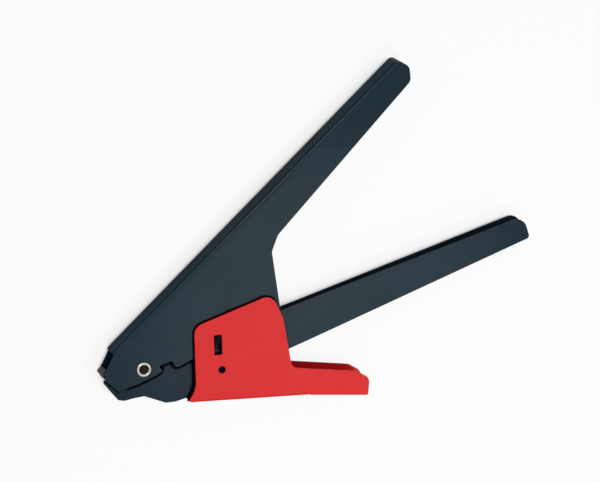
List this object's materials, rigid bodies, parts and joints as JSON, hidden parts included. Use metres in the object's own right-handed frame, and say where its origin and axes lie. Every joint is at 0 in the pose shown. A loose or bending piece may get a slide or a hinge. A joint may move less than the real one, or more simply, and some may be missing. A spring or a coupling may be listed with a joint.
{
  "type": "cable tie tensioning tool",
  "caption": "Hand tool that pulls a cable tie tight and trims its tail: folded steel body with a fixed handle, a tension lever and a red cutting trigger on one hollow pivot.",
  "frame": {"origin": "centre of the hollow pivot, on the tool's middle plane", "axes": "+X from the nose towards the end of the fixed handle, along the spine; +Y from the pivot towards the spine; +Z along the pivot, out of one cheek; the tool lies on its side"},
  "size_m": [0.2325, 0.1245, 0.0168],
  "materials": {
    "body_paint": "satin",
    "lever_paint": "satin",
    "cutter_paint": "satin",
    "red_paint": "gloss",
    "bright_steel": "plated",
    "tool_steel": "ground",
    "spring_steel": "drawn wire",
    "dark_steel": "matt"
  },
  "bodies": {
    "frame": {"body_shell": "body_paint", "nose_plate": "dark_steel", "nose_anvil": "dark_steel", "pivot_eyelet": "bright_steel", "pivot_bush": "tool_steel", "stop_pins": "dark_steel", "carriage_guides": "dark_steel", "spring_seat": "dark_steel", "lever_return_spring": "spring_steel", "cutter_return_spring": "spring_steel", "carriage_return_spring": "spring_steel"},
    "lever": {"tension_lever": "lever_paint", "strut_pin": "tool_steel"},
    "strut": {"push_strut": "tool_steel"},
    "carriage": {"gripper_carriage": "tool_steel", "carriage_pin": "tool_steel", "pawl_pin": "tool_steel", "pawl_spring": "spring_steel"},
    "pawl": {"gripping_pawl": "bright_steel"},
    "trigger": {"cutter_lever": "cutter_paint", "cover_studs": "dark_steel", "trigger_cover": "red_paint", "blade_pin": "tool_steel"},
    "blade": {"cutter_blade": "bright_steel", "blade_carrier": "tool_steel"}
  },
  "joints": [
    {"name": "lever_hinge", "type": "hinge", "parent": "frame", "child": "lever", "pos_m": [0, 0, 0], "axis": [0, 0, 1], "range_deg": [0, 15], "stiffness_Nm_per_rad": 1.5, "springref_deg": -11.46},
    {"name": "carriage_slide", "type": "slide", "parent": "frame", "child": "carriage", "axis": [1, 0, 0], "range_m": [0, 0.0068], "deforming": ["carriage_return_spring"]},
    {"name": "strut_hinge", "type": "hinge", "parent": "lever", "child": "strut", "pos_m": [0.022, -0.0153, 0], "axis": [0, 0, 1], "range_deg": [-29.5, 0.5]},
    {"name": "pawl_hinge", "type": "hinge", "parent": "carriage", "child": "pawl", "pos_m": [0.03624, 0.01332, 0], "axis": [0, 0, 1], "range_deg": [0, 8], "stiffness_Nm_per_rad": 0.02, "springref_deg": -11.46},
    {"name": "trigger_hinge", "type": "hinge", "parent": "frame", "child": "trigger", "pos_m": [0, 0, 0], "axis": [0, 0, 1], "range_deg": [0, 9], "stiffness_Nm_per_rad": 1, "springref_deg": -11.46},
    {"name": "blade_slide", "type": "slide", "parent": "frame", "child": "blade", "axis": [0, 1, 0], "range_m": [-0.0025, 0.0001]}
  ],
  "couplings": [
    {"joint": "carriage_slide", "follows": "lever_hinge", "m_per_rad": 0.0255},
    {"joint": "strut_hinge", "follows": "lever_hinge", "ratio": -1.92},
    {"joint": "blade_slide", "follows": "trigger_hinge", "m_per_rad": -0.01527}
  ]
}
